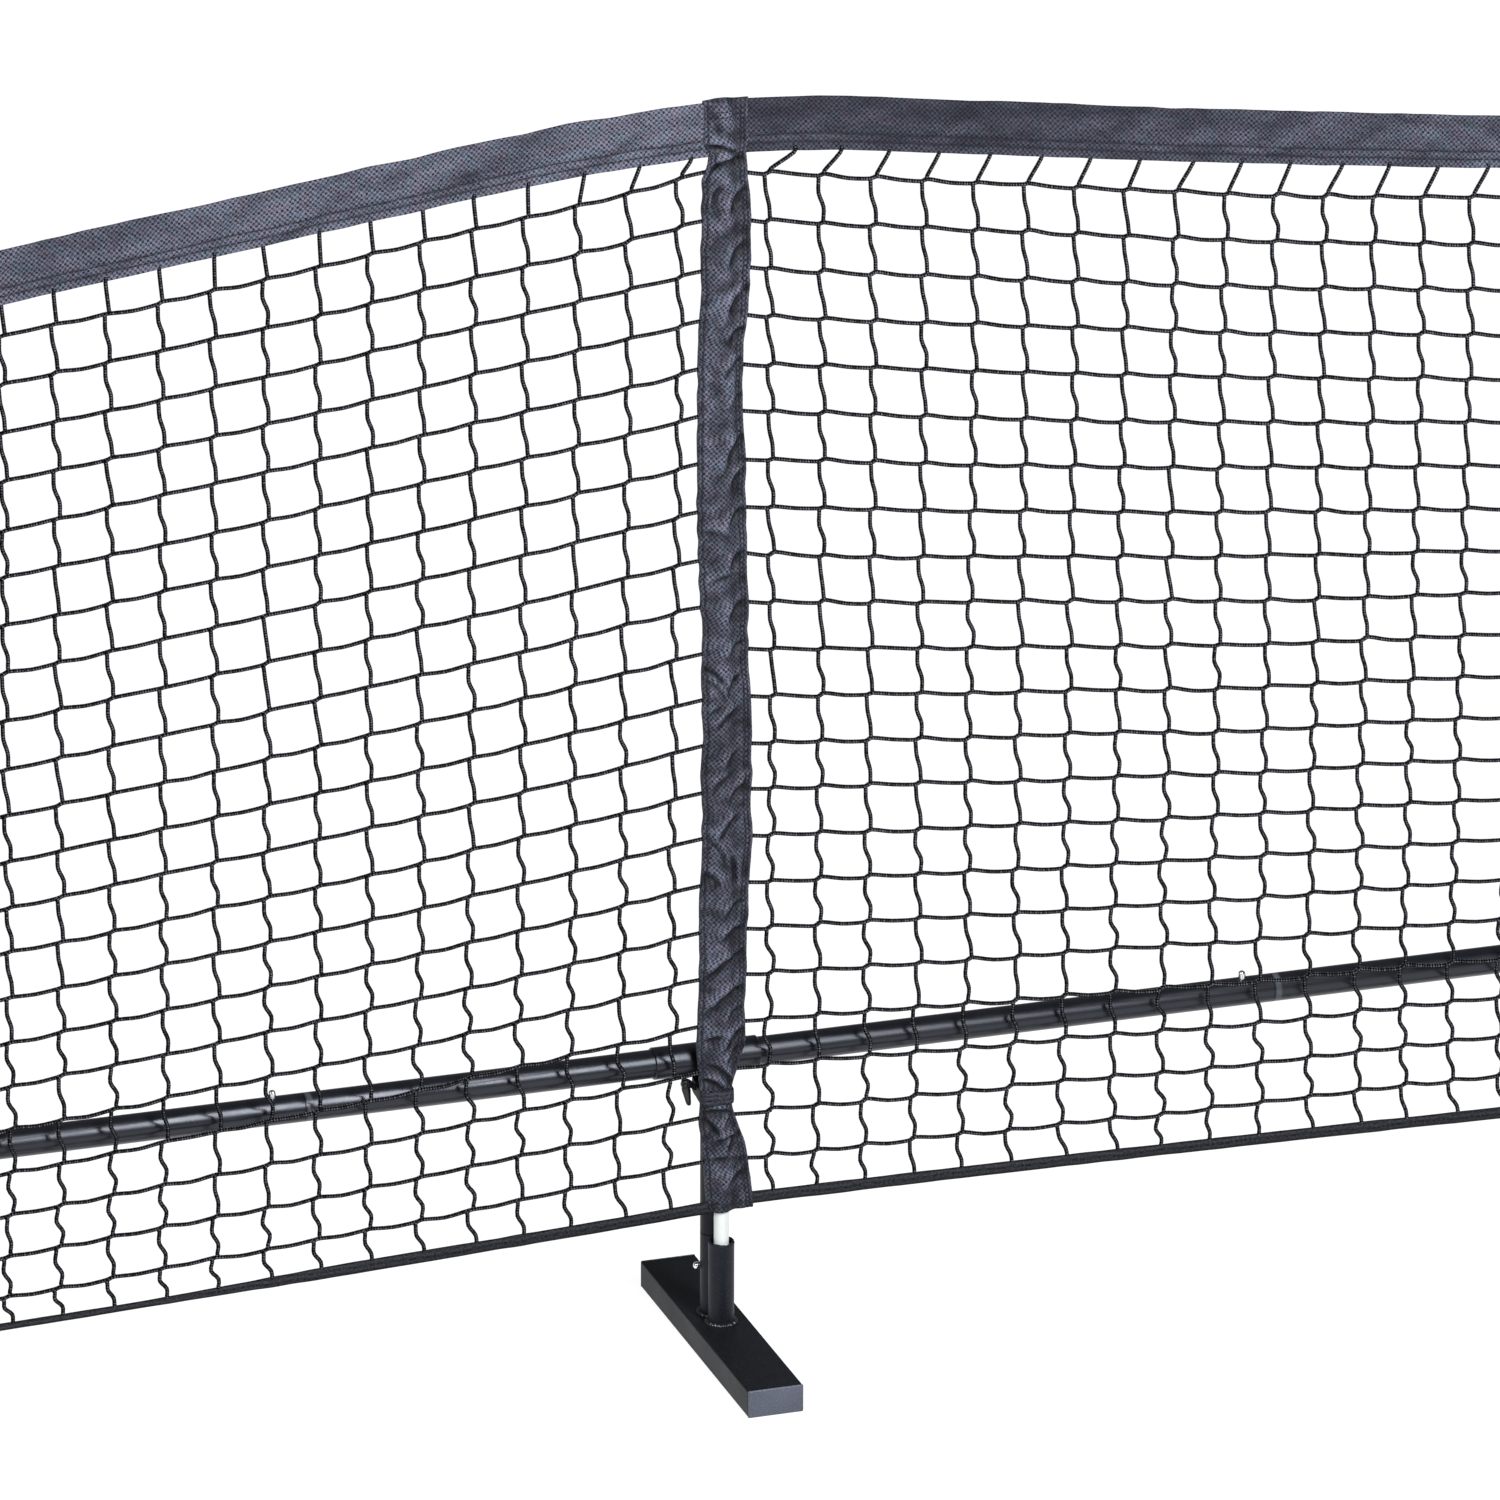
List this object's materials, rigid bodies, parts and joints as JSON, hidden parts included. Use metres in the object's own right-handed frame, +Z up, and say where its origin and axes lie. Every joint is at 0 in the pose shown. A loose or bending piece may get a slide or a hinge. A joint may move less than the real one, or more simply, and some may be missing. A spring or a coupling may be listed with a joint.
{
  "type": "portable net set",
  "caption": "Portable court net for lawn games: square-mesh net with top band and hem tape, in sleeves on a knock-down steel tube frame with snap buttons and welded feet.",
  "frame": {"origin": "on the ground under the centre rod, in the plane of the net", "axes": "+X along the net to the right, +Y away from the viewer, +Z up"},
  "size_m": [6.744, 0.6, 0.914],
  "materials": {
    "tube_coat": "satin",
    "foot_coat": "satin",
    "weld": "satin",
    "zinc_button": "polished",
    "spring_steel": "plain",
    "rod_white": "gloss",
    "band_cloth": "woven",
    "sleeve_cloth": "woven",
    "hem_tape": "woven",
    "tie_strap": "woven",
    "net_cord": "braided",
    "hook_plastic": "gloss",
    "cap_plastic": "moulded"
  },
  "bodies": {
    "root": {"centre_foot": "foot_coat", "centre_post_socket": "foot_coat", "centre_rod": "rod_white", "centre_rod_socket": "foot_coat", "centre_sleeve": "sleeve_cloth", "centre_tie": "tie_strap", "crossbar_centre": "tube_coat", "crossbar_clips": "spring_steel", "crossbar_left_1": "tube_coat", "crossbar_left_2": "tube_coat", "crossbar_left_3": "tube_coat", "crossbar_left_4": "tube_coat", "crossbar_right_1": "tube_coat", "crossbar_right_2": "tube_coat", "crossbar_right_3": "tube_coat", "crossbar_right_4": "tube_coat", "foot_end_plates": "foot_coat", "foot_welds": "weld", "hem_tape_left": "hem_tape", "hem_tape_right": "hem_tape", "left_end_bar": "tube_coat", "left_end_sleeve": "sleeve_cloth", "left_end_tie": "tie_strap", "left_foot": "foot_coat", "left_foot_sockets": "foot_coat", "left_lower_post": "tube_coat", "left_upper_post": "tube_coat", "net_left": "net_cord", "net_right": "net_cord", "post_caps": "cap_plastic", "post_clips": "spring_steel", "right_end_bar": "tube_coat", "right_end_sleeve": "sleeve_cloth", "right_end_tie": "tie_strap", "right_foot": "foot_coat", "right_foot_sockets": "foot_coat", "right_lower_post": "tube_coat", "right_upper_post": "tube_coat", "tee_post": "tube_coat", "tee_sleeve": "tube_coat", "top_band_left": "band_cloth", "top_band_right": "band_cloth"},
    "crossbar_button_1": {"crossbar_button_1": "zinc_button"},
    "crossbar_button_2": {"crossbar_button_2": "zinc_button"},
    "crossbar_button_3": {"crossbar_button_3": "zinc_button"},
    "crossbar_button_4": {"crossbar_button_4": "zinc_button"},
    "crossbar_button_5": {"crossbar_button_5": "zinc_button"},
    "crossbar_button_6": {"crossbar_button_6": "zinc_button"},
    "crossbar_button_7": {"crossbar_button_7": "zinc_button"},
    "crossbar_button_8": {"crossbar_button_8": "zinc_button"},
    "crossbar_button_9": {"crossbar_button_9": "zinc_button"},
    "crossbar_button_10": {"crossbar_button_10": "zinc_button"},
    "tee_post_button": {"tee_post_button": "zinc_button"},
    "left_post_button": {"left_post_button": "zinc_button"},
    "left_bar_button": {"left_bar_button": "zinc_button"},
    "right_post_button": {"right_post_button": "zinc_button"},
    "right_bar_button": {"right_bar_button": "zinc_button"},
    "tie_hook": {"tie_hook": "hook_plastic"}
  },
  "joints": [
    {"name": "crossbar_button_1_press", "type": "slide", "parent": "root", "child": "crossbar_button_1", "axis": [0, 0, -1], "range_m": [0, 0.006], "stiffness_N_per_m": 900, "springref_m": -0.001, "deforming": ["crossbar_clips"]},
    {"name": "crossbar_button_2_press", "type": "slide", "parent": "root", "child": "crossbar_button_2", "axis": [0, 0, -1], "range_m": [0, 0.006], "stiffness_N_per_m": 900, "springref_m": -0.001, "deforming": ["crossbar_clips"]},
    {"name": "crossbar_button_3_press", "type": "slide", "parent": "root", "child": "crossbar_button_3", "axis": [0, 0, -1], "range_m": [0, 0.006], "stiffness_N_per_m": 900, "springref_m": -0.001, "deforming": ["crossbar_clips"]},
    {"name": "crossbar_button_4_press", "type": "slide", "parent": "root", "child": "crossbar_button_4", "axis": [0, 0, -1], "range_m": [0, 0.006], "stiffness_N_per_m": 900, "springref_m": -0.001, "deforming": ["crossbar_clips"]},
    {"name": "crossbar_button_5_press", "type": "slide", "parent": "root", "child": "crossbar_button_5", "axis": [0, 0, -1], "range_m": [0, 0.006], "stiffness_N_per_m": 900, "springref_m": -0.001, "deforming": ["crossbar_clips"]},
    {"name": "crossbar_button_6_press", "type": "slide", "parent": "root", "child": "crossbar_button_6", "axis": [0, 0, -1], "range_m": [0, 0.006], "stiffness_N_per_m": 900, "springref_m": -0.001, "deforming": ["crossbar_clips"]},
    {"name": "crossbar_button_7_press", "type": "slide", "parent": "root", "child": "crossbar_button_7", "axis": [0, 0, -1], "range_m": [0, 0.006], "stiffness_N_per_m": 900, "springref_m": -0.001, "deforming": ["crossbar_clips"]},
    {"name": "crossbar_button_8_press", "type": "slide", "parent": "root", "child": "crossbar_button_8", "axis": [0, 0, -1], "range_m": [0, 0.006], "stiffness_N_per_m": 900, "springref_m": -0.001, "deforming": ["crossbar_clips"]},
    {"name": "crossbar_button_9_press", "type": "slide", "parent": "root", "child": "crossbar_button_9", "axis": [0, 0, -1], "range_m": [0, 0.006], "stiffness_N_per_m": 900, "springref_m": -0.001, "deforming": ["crossbar_clips"]},
    {"name": "crossbar_button_10_press", "type": "slide", "parent": "root", "child": "crossbar_button_10", "axis": [0, 0, -1], "range_m": [0, 0.006], "stiffness_N_per_m": 900, "springref_m": -0.001, "deforming": ["crossbar_clips"]},
    {"name": "tee_post_button_press", "type": "slide", "parent": "root", "child": "tee_post_button", "axis": [1, 0, 0], "range_m": [0, 0.006], "stiffness_N_per_m": 900, "springref_m": -0.001, "deforming": ["post_clips"]},
    {"name": "left_post_button_press", "type": "slide", "parent": "root", "child": "left_post_button", "axis": [1, 0, 0], "range_m": [0, 0.006], "stiffness_N_per_m": 900, "springref_m": -0.001, "deforming": ["post_clips"]},
    {"name": "left_bar_button_press", "type": "slide", "parent": "root", "child": "left_bar_button", "axis": [1, 0, 0], "range_m": [0, 0.006], "stiffness_N_per_m": 900, "springref_m": -0.001, "deforming": ["post_clips"]},
    {"name": "right_post_button_press", "type": "slide", "parent": "root", "child": "right_post_button", "axis": [-1, 0, 0], "range_m": [0, 0.006], "stiffness_N_per_m": 900, "springref_m": -0.001, "deforming": ["post_clips"]},
    {"name": "right_bar_button_press", "type": "slide", "parent": "root", "child": "right_bar_button", "axis": [-1, 0, 0], "range_m": [0, 0.006], "stiffness_N_per_m": 900, "springref_m": -0.001, "deforming": ["post_clips"]},
    {"name": "tie_hook_swing", "type": "hinge", "parent": "root", "child": "tie_hook", "pos_m": [-0.022, 0.0095, 0.1876], "axis": [0, 1, 0], "range_deg": [-12, 60]}
  ]
}
